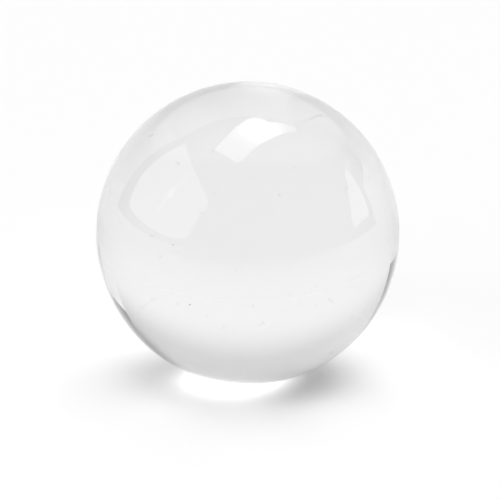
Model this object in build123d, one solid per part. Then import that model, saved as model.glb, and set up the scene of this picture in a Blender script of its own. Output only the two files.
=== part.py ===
"""A clear cue ball for a pool table: one sphere of see-through cast resin, polished all over.

Millimetres. The origin is the ball's centre and +Z is up. The ball is one casting with no insert,
core, seam, hole, number or spot, so it is one solid, and it rests on the single point below its centre.
"""

from build123d import *
import os

INCH = 25.4
BALL_DIAMETER = 2.25 * INCH  # the regulation size of a pool ball, 57.15 mm

PARTS_FOLDER = "parts"


def make_ball():
    """The casting, a full sphere about the origin, with its poles on Z."""
    return Sphere(radius=BALL_DIAMETER / 2)


def write_parts():
    """Writes one STEP for each sub-part, named as its node, and prints its measures."""
    parts = {"ball": make_ball()}
    os.makedirs(PARTS_FOLDER, exist_ok=True)
    for node, shape in parts.items():
        export_step(shape, os.path.join(PARTS_FOLDER, node + ".step"))
        size = shape.bounding_box().size
        print(f"{node}: {size.X:.2f} x {size.Y:.2f} x {size.Z:.2f} mm, {shape.volume / 1000:.2f} cm3")


write_parts()
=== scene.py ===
"""The clear cue ball on a white table, in soft studio light.

Metres. The ball's centre is the origin, +Z is up, and the camera stands on the -Y side. Directions in
the studio are (azimuth, elevation) in degrees as seen from the ball: azimuth 0 is straight behind the
ball, +Y, and turns towards +X. Radiance 1 is white paper at the exposure used.
"""

import math
import random

import bmesh
import bpy
from mathutils import Euler, Matrix, Vector


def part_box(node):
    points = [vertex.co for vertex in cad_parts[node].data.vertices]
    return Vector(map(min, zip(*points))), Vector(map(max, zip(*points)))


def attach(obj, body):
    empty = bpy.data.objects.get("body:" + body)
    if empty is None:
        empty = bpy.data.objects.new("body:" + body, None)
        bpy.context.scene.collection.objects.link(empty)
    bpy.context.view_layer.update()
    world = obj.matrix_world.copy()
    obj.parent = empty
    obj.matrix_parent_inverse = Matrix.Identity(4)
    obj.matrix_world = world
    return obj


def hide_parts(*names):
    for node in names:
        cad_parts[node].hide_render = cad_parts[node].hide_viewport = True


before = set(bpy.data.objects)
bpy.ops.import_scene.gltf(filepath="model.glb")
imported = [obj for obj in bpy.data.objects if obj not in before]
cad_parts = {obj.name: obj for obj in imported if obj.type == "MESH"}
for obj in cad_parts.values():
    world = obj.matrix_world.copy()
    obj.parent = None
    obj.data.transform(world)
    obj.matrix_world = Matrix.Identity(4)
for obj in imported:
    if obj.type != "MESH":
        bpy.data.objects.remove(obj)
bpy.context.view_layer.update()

MM = 0.001

# The ball, from the frame.
BALL_LOW, BALL_HIGH = (Vector(corner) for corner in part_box("ball"))
BALL_RADIUS = (BALL_HIGH.z - BALL_LOW.z) / 2
BALL_CENTRE = (BALL_LOW + BALL_HIGH) / 2
TABLE_Z = BALL_LOW.z

# Skin and resin. A scale is the number of pattern cells in a metre.
PANEL_CELLS = 114  # grid cells along each edge of the six panels that the ball's skin is made of
RESIN_IOR = 1.5
RESIN_ABSORPTION = 2.9  # per metre, for a colour of half strength
WAVE_SCALE = 90.0
WAVE_HEIGHT = 0.0025 * MM  # how far hand polishing leaves the skin from a true sphere
LONG_HAIRLINES = (45.0, 0.0025)  # scale, and width in parts of the pattern's whole range
SHORT_HAIRLINES = (130.0, 0.004)
HAIRLINE_GAPS = (0.52, 0.62)  # the part of a second pattern's range where lines begin and are full
HAIRLINE_DEPTH = 0.0003 * MM
HAIRLINE_ROUGHNESS = 0.12
PITS = (600.0, 0.1, 0.12)  # scale, the share of cells that have one, and its radius in cells
PIT_DEPTH = 0.006 * MM
COARSE_DUST = (600.0, 0.9, 0.13)  # the same three for grains of dust
FINE_DUST = (1000.0, 0.9, 0.16)
DUST_COVER = 0.05  # how much of the light a grain of dust stops
DUST_COLOUR = (0.95, 0.94, 0.92, 1)
DUST_RAGGEDNESS = 0.12 * MM
RAGGED_SCALE = 2500.0
WIPE_SCALE = 140.0
WIPE_RANGE = (0.45, 0.75)  # the part of the pattern's range where haze begins and is full
WIPE_ROUGHNESS = 0.02

# Seeds: the tiny gas bubbles and flakes that a clear casting keeps.
SEED_COUNT = 130
SEED_RADII = (0.02 * MM, 0.05 * MM)
SEED_MARGIN = 0.4 * MM  # least depth of a seed's wall below the skin
SEED_FLATNESS = (1.0, 1.0, 0.75, 0.35)  # thickness over width, each equally likely
FLAKE_STRETCH = 1.25  # length over width of a seed flatter than a half
SEED_DRAW = 17  # seeds the random numbers

# Camera.
LENS_MM = 100
SENSOR_MM = 36
CAMERA_ELEVATION = math.radians(17)
CAMERA_DISTANCE = 9.21 * BALL_RADIUS
AIM_BELOW = math.radians(0.69)  # how far under the ball's centre the camera points
AIM_RIGHT = math.radians(0.095)

# Table.
TABLE_RADIUS = 0.9
TABLE_SEGMENTS = 96
TABLE_ALBEDO = 0.9
TABLE_ALBEDO_SEEN = 0.93  # as the camera itself sees it, bright enough to burn out to plain white
TABLE_FRONT = (-0.03, -0.6)  # along Y, where it starts and ends to dim towards the camera's side
TABLE_FRONT_SHARE = 0.2  # what is left of its brightness there
# Painted light: the table's colour turns a little paler towards the sweep, to brighten the far table that
# the ball shows.
TABLE_BACK = (0.03, 0.25)  # along Y, where it turns a little paler towards the sweep
TABLE_BACK_PAINTED_LIGHT_ALBEDO = 0.94

# Studio, as the ball shows it.
LIGHT_DISTANCE = 10.0
ROOM_RADIANCE = 0.15
ROOM_RADIANCE_THROUGH_BALL = 0.85  # of the camera's side of the room, for whoever looks from behind
ROOM_FRONT = (0.5, 0.15)  # where that side starts, along Y on a sphere of directions

# The paper sweep and its boards. Places and heights are in parts of the distance.
WALL_DISTANCE = 10.0
SWEEP_SIDES = (-1.73, 1.19)
SWEEP_HEIGHTS = (-0.2, 2.33)
SWEEP_RADIANCE_LOW = 1.0
SWEEP_RADIANCE_HIGH = (0.85, 0.74)  # at the left and from the middle on
SWEEP_HIGH_CHANGE = (-0.85, -0.3)  # where it goes from the first to the second
SWEEP_FADE = (0.08, 0.48)  # the heights where low turns into high
SWEEP_CORNER_SIDE = (0.6, 1.15)  # the top right-hand corner is dark: where it starts and is full
SWEEP_CORNER_HEIGHT = (0.35, 0.95)
SWEEP_CORNER_SHARE = 0.3  # what is left of its brightness there
SIDE_BOARD_END = 2.6
SIDE_BOARD_TOPS = (0.5, 0.75)
SIDE_BOARD_RADIANCE = 1.0

# Low boards round the left of the table, in degrees.
TABLE_EDGE_START = -60
TABLE_EDGE_WIDTH = 15
TABLE_EDGE_ELEVATIONS = (-4, 2.5)
TABLE_EDGE_RADIANCE = (0.95, 0.95, 0.9, 0.75, 0.5, 0.3)  # one by one, from the left round to the front

# The soft box overhead. Places are in parts of its height. The outlines from here to PANELS were worked out
# by a separate program, from where their reflections stand on the ball, and then rounded and adjusted.
OVERHEAD_HEIGHT = 8.0
OVERHEAD_RADIANCE = (2.0, 1.1)  # of the diffuser away from the lamp behind it, and at its right-hand tip
OVERHEAD_TIP = (0.25, 0.52)
LAMP_RADIANCE = 4.5  # added where the lamp itself glows through
LAMP_PLACE = (0.13, 0.16)
LAMP_SPREAD = 0.19
OVERHEAD_OUTLINE = (
    (-0.37, -0.10), (-0.15, -0.35), (-0.08, -0.345), (0.10, -0.11), (0.35, 0.18), (0.52, 0.365),
    (0.46, 0.425), (0.28, 0.385), (0.21, 0.34), (0.13, 0.395), (0.06, 0.405), (0.0, 0.37), (-0.2, 0.09),
)

# The other lamps, as outlines of directions. A panel is an outline and a radiance.
UMBRELLA_OUTLINE = (
    (-71, 53), (-101, 53), (-123, 49), (-144, 37), (-144, 31), (-138, 19), (-135, 10),
    (-129, 7), (-117, 6), (-99, 7), (-83, 8), (-74, 9), (-72, 14), (-70, 24), (-70, 36),
)
STRIP_OUTLINE = (
    (75, 30), (70, 25), (72, 19), (72, 13), (71, 9), (76, 4), (83, 5), (93, 4), (94, 10), (88, 21),
)
STRIP_TOP_OUTLINE = ((64, 31), (60, 27), (69, 25), (76, 30))
PANELS = {
    "left_umbrella": (UMBRELLA_OUTLINE, 1.25),
    "right_strip": (STRIP_OUTLINE, 1.35),
    "right_strip_top": (STRIP_TOP_OUTLINE, 0.6),
}

# Narrow things before them: a line of directions, width in degrees, radiance, and nearness.
RIBBONS = {
    "left_lamp_rod": (((-113, 47), (-110, 38), (-106, 28), (-104, 17)), 3.0, 1.7, 0.8),
    "left_lamp_glint": (((-109, 35), (-107, 29)), 4.5, 2.3, 0.75),
    "right_seam": (((69, 28), (71.5, 22), (72.5, 12), (73, 5), (75, -1)), 2.0, 0.0, 0.8),
    "boom": (((47, 58), (41, 49), (36, 41), (28, 27)), 1.3, 0.1, 0.8),
}
MIRRORED_ONLY = ("right_seam", "boom")  # these don't show through the ball

# Light on the table, as rings of soft round lamps: elevation, spread, and radiance by azimuth. Light that
# reaches the table by itself is one list. Light that the ball gathers into the bright patch is another.
# The radiances weren't chosen by hand. A separate program fitted them to the shadow and the bright patch
# that were wanted, by least squares, and they were then rounded.
TABLE_LAMPS = (
    (74, 0.24, {90: 0.4, 270: 0.78}),
    (58, 0.24, {0: 2.3, 45: 1.2, 90: 2.05, 135: 1.0, 180: 2.05, 270: 0.27, 315: 0.35}),
    (38, 0.24, {180: 0.35}),
    (60, 0.42, {60: 0.35, 180: 1.3}),
    (34, 0.42, {0: 0.2, 45: 0.17, 180: 0.37, 225: 1.8, 270: 0.64}),
    (8, 0.42, {135: 0.26, 270: 0.35, 315: 0.3}),
)
LAMPS_THROUGH_BALL = (
    (90, 0.22, {0: 3.7}),
    (76, 0.22, {0: 0.55, 60: 2.2}),
    (62, 0.22, {0: 0.37}),
    (48, 0.22, {40: 0.16, 320: 0.3}),
    (34, 0.42, {0: 0.53, 45: 1.1, 90: 0.3, 135: 2.4, 180: 0.3, 225: 2.15, 270: 1.1, 315: 0.55}),
    (8, 0.42, {0: 0.93, 90: 1.6, 180: 1.05}),
)


def new_object(name, mesh):
    """Links a mesh to the scene under one name."""
    piece = bpy.data.objects.new(name, mesh)
    bpy.context.scene.collection.objects.link(piece)
    return piece


class Nodes:
    """A material's or world's node tree, with short ways to add nodes and join them."""

    def __init__(self, owner):
        owner.use_nodes = True
        self.tree = owner.node_tree

    def add(self, kind, inputs=(), **settings):
        """A node with its properties set, and its inputs set by name or joined to a socket."""
        node = self.tree.nodes.new("ShaderNode" + kind)
        for name, value in settings.items():
            setattr(node, name, value)
        for name, value in dict(inputs).items():
            self.feed(node.inputs[name], value)
        return node

    def feed(self, socket, value):
        """Joins a socket to another socket, or sets it to a plain value."""
        if isinstance(value, bpy.types.NodeSocket):
            self.tree.links.new(value, socket)
        else:
            socket.default_value = value

    def math(self, operation, first, second=0.0, third=0.0, clamp=False):
        """The result of one sum on sockets or numbers."""
        node = self.add("Math", operation=operation, use_clamp=clamp)
        for socket, value in zip(node.inputs, (first, second, third)):
            self.feed(socket, value)
        return node.outputs[0]

    def remap(self, value, low, high, at_low=0.0, at_high=1.0, kind="SMOOTHSTEP"):
        """value moved from low..high to at_low..at_high, with soft ends, and held there outside."""
        places = {"Value": value, "From Min": low, "From Max": high, "To Min": at_low, "To Max": at_high}
        return self.add("MapRange", places, interpolation_type=kind).outputs[0]

    def tint(self, share, first, second):
        """One colour where share is 0 and another where it is 1."""
        return self.add("MixRGB", {"Fac": share, "Color1": first, "Color2": second}).outputs[0]

    def mix(self, share, first, second):
        """first where share is 0 and second where it is 1."""
        node = self.add("Mix", {"Factor": share, "A": first, "B": second}, data_type="FLOAT")
        return node.outputs[0]


# ---------------------------------------------------------------------------------------------
# The ball
# ---------------------------------------------------------------------------------------------


def skin_panels(radius, cells):
    """The six square panels of a cube blown up to a sphere, as (points, quads), welded at the edges.

    Rows are spaced by equal angles, so every quad has nearly the same size and none is a sliver.
    """
    points, quads, index = [], [], {}
    steps = [math.tan(math.pi / 4 * (2 * i / cells - 1)) for i in range(cells + 1)]

    def point(axis, side, a, b):
        place = [0.0, 0.0, 0.0]
        place[axis] = side
        place[(axis + 1) % 3] = steps[a] * side
        place[(axis + 2) % 3] = steps[b]
        at = Vector(place).normalized()
        key = tuple(round(v * 1e6) for v in at)
        if key not in index:
            index[key] = len(points)
            points.append(at * radius)
        return index[key]

    for axis in range(3):
        for side in (-1.0, 1.0):
            for a in range(cells):
                for b in range(cells):
                    corners = ((a, b), (a + 1, b), (a + 1, b + 1), (a, b + 1))
                    quads.append([point(axis, side, *corner) for corner in corners])
    return points, quads


def seed_places(rng):
    """Centres and radii of the seeds: spread through the casting, clear of the skin and each other."""
    smallest, largest = SEED_RADII
    seeds = []
    while len(seeds) < SEED_COUNT:
        at = Vector([rng.uniform(-BALL_RADIUS, BALL_RADIUS) for _ in range(3)])
        radius = smallest + (largest - smallest) * rng.random() ** 2
        deep_enough = at.length + 1.5 * radius < BALL_RADIUS - SEED_MARGIN
        if deep_enough and all((at - other).length > 4 * (radius + r) for other, r in seeds):
            seeds.append((at, radius))
    return seeds


def add_seed(bm, at, radius, rng):
    """One void: a closed shell whose faces look into the gas. Some are round and some are flat flakes."""
    flatness = rng.choice(SEED_FLATNESS)
    turn = Euler([rng.uniform(0, math.pi) for _ in range(3)]).to_matrix().to_4x4()
    shape = Matrix.Diagonal((FLAKE_STRETCH if flatness < 0.5 else 1.0, 1.0, flatness, 1.0))
    place = Matrix.Translation(at) @ turn @ shape
    made = bmesh.ops.create_icosphere(bm, subdivisions=2, radius=radius, matrix=place)
    faces = {face for vert in made["verts"] for face in vert.link_faces}
    bmesh.ops.reverse_faces(bm, faces=list(faces))


def make_ball():
    """The casting: its polished skin, with the seeds as voids in the same closed mesh."""
    points, quads = skin_panels(BALL_RADIUS, PANEL_CELLS)
    mesh = bpy.data.meshes.new("clear_ball")
    mesh.from_pydata(points, [], quads)
    bm = bmesh.new()
    bm.from_mesh(mesh)
    rng = random.Random(SEED_DRAW)
    for at, radius in seed_places(rng):
        add_seed(bm, at, radius, rng)
    bmesh.ops.translate(bm, verts=bm.verts, vec=BALL_CENTRE)
    for face in bm.faces:
        face.smooth = True
    bm.to_mesh(mesh)
    bm.free()
    mesh.materials.append(resin_material())
    return new_object("clear_ball", mesh)


def hairlines(nodes, place, scale, width):
    """1 on long thin curved lines with gaps in them, as a polishing cloth leaves, and 0 elsewhere."""
    contour = nodes.add("TexNoise", {"Vector": place, "Scale": scale, "Detail": 0.5, "Distortion": 0.3})
    off_line = nodes.math("ABSOLUTE", nodes.math("SUBTRACT", contour.outputs[0], 0.5))
    line = nodes.remap(off_line, 0.0, width, 1.0, 0.0)
    patches = nodes.add("TexNoise", {"Vector": place, "Scale": scale * 1.7, "Detail": 2.0})
    return nodes.math("MULTIPLY", line, nodes.remap(patches.outputs[0], *HAIRLINE_GAPS))


def pits(nodes, place, scale, share, size):
    """1 in the middle of small round dots, one in a few cells of a random pattern, and 0 elsewhere."""
    cells = nodes.add("TexVoronoi", {"Vector": place, "Scale": scale})
    draw = nodes.add("SeparateColor", {"Color": cells.outputs["Color"]}).outputs[0]
    chosen = nodes.math("GREATER_THAN", draw, 1 - share)
    dot = nodes.remap(cells.outputs["Distance"], 0.0, size, 1.0, 0.0)
    return nodes.math("MULTIPLY", dot, chosen)


def dust_grains(nodes, place):
    """1 in the middle of ragged grains of dust, and 0 elsewhere."""
    noise = nodes.add("TexNoise", {"Vector": place, "Scale": RAGGED_SCALE, "Detail": 2.0})
    shift = nodes.add("VectorMath", {0: noise.outputs["Color"], 3: DUST_RAGGEDNESS}, operation="SCALE")
    ragged_place = nodes.add("VectorMath", {0: place, 1: shift.outputs[0]}, operation="ADD").outputs[0]
    coarse = pits(nodes, ragged_place, *COARSE_DUST)
    fine = pits(nodes, ragged_place, *FINE_DUST)
    return nodes.math("MAXIMUM", coarse, fine)


def resin_material():
    """Clear cast resin with a hand-polished skin: faint waves, hairlines, pits, wipe marks and dust."""
    material = bpy.data.materials.new("clear_resin")
    nodes = Nodes(material)
    shader = nodes.tree.nodes["Principled BSDF"]
    place = nodes.add("TexCoord").outputs["Object"]
    waves = nodes.add("TexNoise", {"Vector": place, "Scale": WAVE_SCALE, "Detail": 1.0}).outputs[0]
    wipe = {"Vector": place, "Scale": WIPE_SCALE, "Detail": 6.0, "Roughness": 0.65}
    wiped = nodes.add("TexNoise", wipe).outputs[0]
    long_lines = hairlines(nodes, place, *LONG_HAIRLINES)
    short_lines = hairlines(nodes, place, *SHORT_HAIRLINES)
    lines = nodes.math("MAXIMUM", long_lines, short_lines)
    dots = pits(nodes, place, *PITS)
    dust = dust_grains(nodes, place)

    height = nodes.math("MULTIPLY", waves, WAVE_HEIGHT)
    height = nodes.math("MULTIPLY_ADD", lines, -HAIRLINE_DEPTH, height)
    height = nodes.math("MULTIPLY_ADD", dots, -PIT_DEPTH, height)
    bump = nodes.add("Bump", {"Height": height, "Distance": 1.0})
    haze = nodes.remap(wiped, *WIPE_RANGE, 0.0, WIPE_ROUGHNESS)
    roughness = nodes.math("MAXIMUM", haze, nodes.math("MULTIPLY", lines, HAIRLINE_ROUGHNESS))
    clearness = nodes.remap(dust, 0.0, 1.0, 1.0, 1 - DUST_COVER, "LINEAR")

    nodes.feed(shader.inputs["Normal"], bump.outputs[0])
    nodes.feed(shader.inputs["Roughness"], roughness)
    nodes.feed(shader.inputs["Base Color"], nodes.tint(dust, (1, 1, 1, 1), DUST_COLOUR))
    nodes.feed(shader.inputs["Transmission Weight"], clearness)
    shader.inputs["IOR"].default_value = RESIN_IOR
    tint = nodes.add("VolumeAbsorption", {"Color": (0.5, 0.5, 0.5, 1), "Density": RESIN_ABSORPTION})
    nodes.feed(nodes.tree.nodes["Material Output"].inputs["Volume"], tint.outputs[0])
    return material


# ---------------------------------------------------------------------------------------------
# The studio
# ---------------------------------------------------------------------------------------------


def direction(azimuth, elevation):
    """Unit vector from the ball towards a place in the studio."""
    az, el = math.radians(azimuth), math.radians(elevation)
    return Vector((math.sin(az) * math.cos(el), math.cos(az) * math.cos(el), math.sin(el)))


def empty_material(name):
    """A new material with nothing in its tree but the output, and its nodes."""
    material = bpy.data.materials.new(name)
    nodes = Nodes(material)
    nodes.tree.nodes.remove(nodes.tree.nodes["Principled BSDF"])
    return material, nodes


def ray_kinds(nodes):
    """Two sockets. One is 1 for light that the ball's skin shows the camera, the other for light that
    reaches the table by the skin. Both are 0 for light that reaches the table by itself.
    """
    path = nodes.add("LightPath").outputs
    by_skin = nodes.math("ADD", path["Is Glossy Ray"], path["Is Transmission Ray"], clamp=True)
    before_table = nodes.math("LESS_THAN", path["Diffuse Depth"], 0.5)
    shown = nodes.math("MULTIPLY", by_skin, before_table)
    return shown, nodes.math("SUBTRACT", by_skin, shown)


def straight_through(nodes):
    """A socket that is 1 for a ray that has crossed the skin with no mirror bounce on its way."""
    path = nodes.add("LightPath").outputs
    return nodes.math("SUBTRACT", path["Is Transmission Ray"], path["Glossy Depth"], clamp=True)


def bell_curve(nodes, distance, spread):
    """A socket that is 1 at distance 0 and falls softly, to about a third at the spread."""
    share = nodes.math("DIVIDE", distance, spread)
    square = nodes.math("MULTIPLY", share, share)
    return nodes.math("EXPONENT", nodes.math("MULTIPLY", square, -1.0))


def glowing(name, radiance):
    """White light. radiance is a number, or a function that makes a socket in the new tree.

    It shows in the ball only. It doesn't light the table and doesn't keep other light from it.
    """
    material, nodes = empty_material(name)
    shown = ray_kinds(nodes)[0]
    strength = radiance(nodes) if callable(radiance) else radiance
    glow = nodes.add("Emission", {"Strength": nodes.math("MULTIPLY", shown, strength)})
    behind = nodes.add("BsdfTransparent", {"Color": nodes.tint(shown, (1, 1, 1, 1), (0, 0, 0, 1))})
    both = nodes.add("AddShader", {0: glow.outputs[0], 1: behind.outputs[0]})
    nodes.feed(nodes.tree.nodes["Material Output"].inputs["Surface"], both.outputs[0])
    material.cycles.emission_sampling = "NONE"
    return material


def stage_card(name, corners, radiance):
    """A lit panel of the studio, which the ball shows and the camera doesn't."""
    mesh = bpy.data.meshes.new(name)
    mesh.from_pydata(corners, [], [list(range(len(corners)))])
    mesh.materials.append(glowing(name, radiance))
    card = new_object(name, mesh)
    card.visible_camera = False
    return card


def far_panel(name, directions, radiance):
    """A lit panel whose corners stand in the given directions from the ball."""
    return stage_card(name, [direction(*d) * LIGHT_DISTANCE for d in directions], radiance)


def far_ribbon(name, directions, width, radiance, nearness):
    """A narrow panel along a line of directions, width degrees wide, standing before the others."""
    reach = LIGHT_DISTANCE * nearness
    line = [direction(*d) for d in directions]
    sides = []
    for i, at in enumerate(line):
        along = line[min(i + 1, len(line) - 1)] - line[max(i - 1, 0)]
        sides.append(at.cross(along).normalized() * math.radians(width) / 2)
    upper = [(at + side) * reach for at, side in zip(line, sides)]
    lower = [(at - side) * reach for at, side in zip(line, sides)]
    return stage_card(name, upper + lower[::-1], radiance)


def sweep_radiance(nodes):
    """White paper: bright low down, dimmer higher up, and dark in its top right-hand corner."""
    place = nodes.add("SeparateXYZ", {0: nodes.add("TexCoord").outputs["Object"]})
    height = nodes.math("DIVIDE", place.outputs["Z"], WALL_DISTANCE)
    across = nodes.math("DIVIDE", place.outputs["X"], WALL_DISTANCE)
    high = nodes.remap(across, *SWEEP_HIGH_CHANGE, *SWEEP_RADIANCE_HIGH)
    upright = nodes.remap(height, *SWEEP_FADE, SWEEP_RADIANCE_LOW, high)
    to_the_right = nodes.remap(across, *SWEEP_CORNER_SIDE)
    corner = nodes.math("MULTIPLY", to_the_right, nodes.remap(height, *SWEEP_CORNER_HEIGHT))
    left_over = nodes.remap(corner, 0.0, 1.0, 1.0, SWEEP_CORNER_SHARE, "LINEAR")
    return nodes.math("MULTIPLY", upright, left_over)


def wall_corners(places):
    """Corners on the wall behind the table, from (across, height) in parts of its distance."""
    return [(across * WALL_DISTANCE, WALL_DISTANCE, height * WALL_DISTANCE) for across, height in places]


def make_sweep():
    """The white paper behind the table, and the low white board that carries it on at the right."""
    left, right = SWEEP_SIDES
    bottom, top = SWEEP_HEIGHTS
    sweep = wall_corners([(left, bottom), (right, bottom), (right, top), (left, top)])
    stage_card("sweep", sweep, sweep_radiance)
    inner_top, outer_top = SIDE_BOARD_TOPS
    end = SIDE_BOARD_END
    board = wall_corners([(right, bottom), (end, bottom), (end, outer_top), (right, inner_top)])
    stage_card("side_board", board, SIDE_BOARD_RADIANCE)


def make_table_edge():
    """Low boards round the left of the table. Those on the camera's side don't show through the ball."""
    low, high = TABLE_EDGE_ELEVATIONS
    for i, radiance in enumerate(TABLE_EDGE_RADIANCE):
        start = TABLE_EDGE_START - TABLE_EDGE_WIDTH * i
        stop = start - TABLE_EDGE_WIDTH
        corners = [(start, low), (stop, low), (stop, high), (start, high)]
        board = far_panel("table_edge.%d" % i, corners, radiance)
        board.visible_transmission = start > -90


def overhead_radiance(nodes):
    """A diffuser with a lamp behind it: a round hot spot, and less light at the far right-hand tip."""
    lamp = Vector((*LAMP_PLACE, 1)) * OVERHEAD_HEIGHT
    place = nodes.add("TexCoord").outputs["Object"]
    reach = nodes.add("VectorMath", {0: place, 1: lamp}, operation="DISTANCE").outputs["Value"]
    hot_spot = bell_curve(nodes, reach, LAMP_SPREAD * OVERHEAD_HEIGHT)
    across = nodes.math("DIVIDE", nodes.add("SeparateXYZ", {0: place}).outputs["X"], OVERHEAD_HEIGHT)
    diffuser = nodes.remap(across, *OVERHEAD_TIP, *OVERHEAD_RADIANCE)
    return nodes.math("MULTIPLY_ADD", hot_spot, LAMP_RADIANCE, diffuser)


def make_lights():
    """The lamps that show in the ball's skin."""
    overhead = [Vector((x, y, 1)) * OVERHEAD_HEIGHT for x, y in OVERHEAD_OUTLINE]
    stage_card("overhead_softbox", overhead, overhead_radiance)
    for name, (outline, radiance) in PANELS.items():
        far_panel(name, outline, radiance)
    for name, ribbon in RIBBONS.items():
        card = far_ribbon(name, *ribbon)
        card.visible_transmission = name not in MIRRORED_ONLY


def make_table():
    """The white table top. Towards the camera it dims into the room where the ball mirrors it."""
    material, nodes = empty_material("table")
    place = nodes.add("SeparateXYZ", {0: nodes.add("TexCoord").outputs["Object"]})
    # Painted light: for every ray but the camera's own, the table's colour turns paler towards the sweep.
    back = nodes.remap(place.outputs["Y"], *TABLE_BACK, TABLE_ALBEDO, TABLE_BACK_PAINTED_LIGHT_ALBEDO)
    dimmed = nodes.remap(place.outputs["Y"], *TABLE_FRONT, 1.0, TABLE_FRONT_SHARE)
    front = nodes.mix(straight_through(nodes), dimmed, 1.0)
    by_ball = nodes.math("MULTIPLY", back, front)
    seen = nodes.add("LightPath").outputs["Is Camera Ray"]
    paint = nodes.add("BsdfDiffuse", {"Color": nodes.mix(seen, by_ball, TABLE_ALBEDO_SEEN)})
    nodes.feed(nodes.tree.nodes["Material Output"].inputs["Surface"], paint.outputs[0])
    bm = bmesh.new()
    bmesh.ops.create_circle(bm, cap_ends=True, segments=TABLE_SEGMENTS, radius=TABLE_RADIUS)
    bmesh.ops.translate(bm, verts=bm.verts, vec=(0, 0, TABLE_Z))
    mesh = bpy.data.meshes.new("table")
    bm.to_mesh(mesh)
    bm.free()
    mesh.materials.append(material)
    new_object("table", mesh)


def lamp_field(nodes, way, rings):
    """The radiance along way of rings of soft lamps, each (elevation, spread, {azimuth: radiance})."""
    total = 0.0
    for elevation, spread, lamps in rings:
        for azimuth, radiance in lamps.items():
            ends = {0: way, 1: direction(azimuth, elevation)}
            off = nodes.add("VectorMath", ends, operation="DISTANCE").outputs["Value"]
            total = nodes.math("MULTIPLY_ADD", bell_curve(nodes, off, spread), radiance, total)
    return total


def room_radiance(nodes, way):
    """A dark room, but light on the camera's side for a ray that goes straight through the ball."""
    frontness = nodes.remap(nodes.add("SeparateXYZ", {0: way}).outputs["Y"], *ROOM_FRONT)
    light = nodes.math("MULTIPLY", straight_through(nodes), frontness)
    return nodes.mix(light, ROOM_RADIANCE, ROOM_RADIANCE_THROUGH_BALL)


def make_world():
    """The room round the table.

    The camera itself sees plain white. The ball shows the room. The table is lit by soft lamps.
    """
    world = bpy.data.worlds.new("room")
    bpy.context.scene.world = world
    nodes = Nodes(world)
    shown, through_ball = ray_kinds(nodes)
    way = nodes.add("TexCoord").outputs["Generated"]
    by_itself = lamp_field(nodes, way, TABLE_LAMPS)
    to_table = nodes.mix(through_ball, by_itself, lamp_field(nodes, way, LAMPS_THROUGH_BALL))
    by_kind = nodes.mix(shown, to_table, room_radiance(nodes, way))
    seen = nodes.add("LightPath").outputs["Is Camera Ray"]
    background = nodes.tree.nodes["Background"]
    background.inputs["Color"].default_value = (1, 1, 1, 1)
    nodes.feed(background.inputs["Strength"], nodes.mix(seen, by_kind, 1.0))


def make_camera():
    """A long lens close to the table, a little above the ball."""
    camera = bpy.data.cameras.new("camera")
    camera.lens = LENS_MM
    camera.sensor_width = SENSOR_MM
    camera.clip_start = 0.01
    camera.clip_end = 100
    eye = bpy.data.objects.new("camera", camera)
    bpy.context.scene.collection.objects.link(eye)
    back = Vector((0, -math.cos(CAMERA_ELEVATION), math.sin(CAMERA_ELEVATION)))
    eye.location = BALL_CENTRE + back * CAMERA_DISTANCE
    eye.rotation_euler = Euler((math.pi / 2 - CAMERA_ELEVATION - AIM_BELOW, 0, -AIM_RIGHT), "XYZ")
    bpy.context.scene.camera = eye


def set_view():
    """Plain sRGB, so that white paper comes out white, and sharp light patterns under the ball."""
    scene = bpy.context.scene
    scene.view_settings.view_transform = "Standard"
    scene.view_settings.look = "None"
    scene.cycles.blur_glossy = 0.0


ball = make_ball()
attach(ball, "root")
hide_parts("ball")

make_table()
make_sweep()
make_table_edge()
make_lights()
make_world()
make_camera()
set_view()
